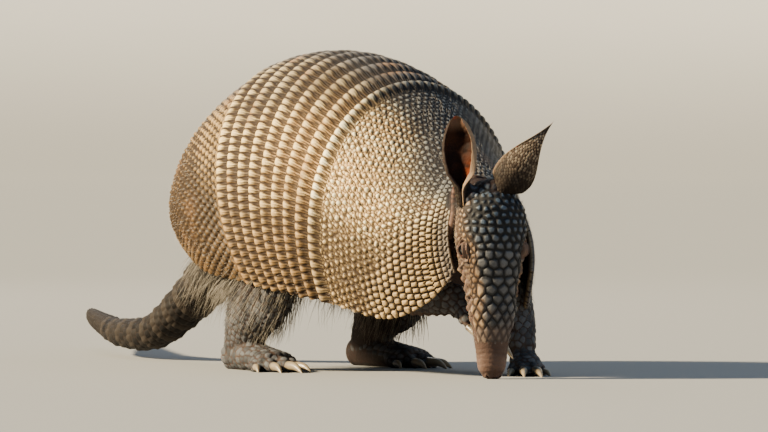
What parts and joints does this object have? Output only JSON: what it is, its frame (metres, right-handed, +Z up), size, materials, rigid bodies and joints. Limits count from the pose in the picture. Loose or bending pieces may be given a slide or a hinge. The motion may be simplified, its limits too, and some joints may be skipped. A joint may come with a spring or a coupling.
{
  "type": "nine-banded armadillo model",
  "caption": "Life-size still model of a nine-banded armadillo that roots with its nose to the ground, one forepaw lifted and its ringed tail held out behind, just clear of the ground.",
  "frame": {"origin": "middle of the model's own box, on the floor", "axes": "+X the way the body faces, +Y the animal's left side, +Z up"},
  "size_m": [0.5632, 0.1526, 0.1646],
  "materials": {
    "shoulder_shell": "satin horn over bone, cream bumps on grey-brown",
    "band": "satin horn over bone, pale wedges on dark skin",
    "rump_shell": "satin horn over bone, small brown bumps",
    "face_shell": "satin horn, grey scales with dark seams",
    "skin": "matt wrinkled skin, pinkish grey",
    "leg_skin": "matt scaly skin, grey-brown, with sparse long hairs",
    "ear": "matt pebbled skin, brown with a warm translucent inside",
    "tail_rings": "satin horn rings, brown with pale edges",
    "claw": "satin horn",
    "eye": "wet black"
  },
  "bodies": {
    "root": {"trunk": "skin", "scapular_shield": "shoulder_shell", "band_1": "band", "band_2": "band", "band_3": "band", "band_4": "band", "band_5": "band", "band_6": "band", "band_7": "band", "band_8": "band", "pelvic_shield": "rump_shell", "head": "skin", "face_shield": "face_shell", "eye_right": "eye", "eye_left": "eye", "ear_right": "ear", "ear_left": "ear", "neck": "skin", "leg_fore_left": "leg_skin", "foot_fore_left": "leg_skin", "claw_fore_left_1": "claw", "claw_fore_left_2": "claw", "claw_fore_left_3": "claw", "claw_fore_left_4": "claw", "leg_fore_right": "leg_skin", "foot_fore_right": "leg_skin", "claw_fore_right_1": "claw", "claw_fore_right_2": "claw", "claw_fore_right_3": "claw", "claw_fore_right_4": "claw", "leg_hind_left": "leg_skin", "foot_hind_left": "leg_skin", "claw_hind_left_1": "claw", "claw_hind_left_2": "claw", "claw_hind_left_3": "claw", "claw_hind_left_4": "claw", "claw_hind_left_5": "claw", "leg_hind_right": "leg_skin", "foot_hind_right": "leg_skin", "claw_hind_right_1": "claw", "claw_hind_right_2": "claw", "claw_hind_right_3": "claw", "claw_hind_right_4": "claw", "claw_hind_right_5": "claw", "tail_1": "tail_rings", "tail_2": "tail_rings", "tail_3": "tail_rings", "tail_4": "tail_rings", "tail_5": "tail_rings", "tail_6": "tail_rings", "tail_7": "tail_rings"}
  },
  "joints": []
}
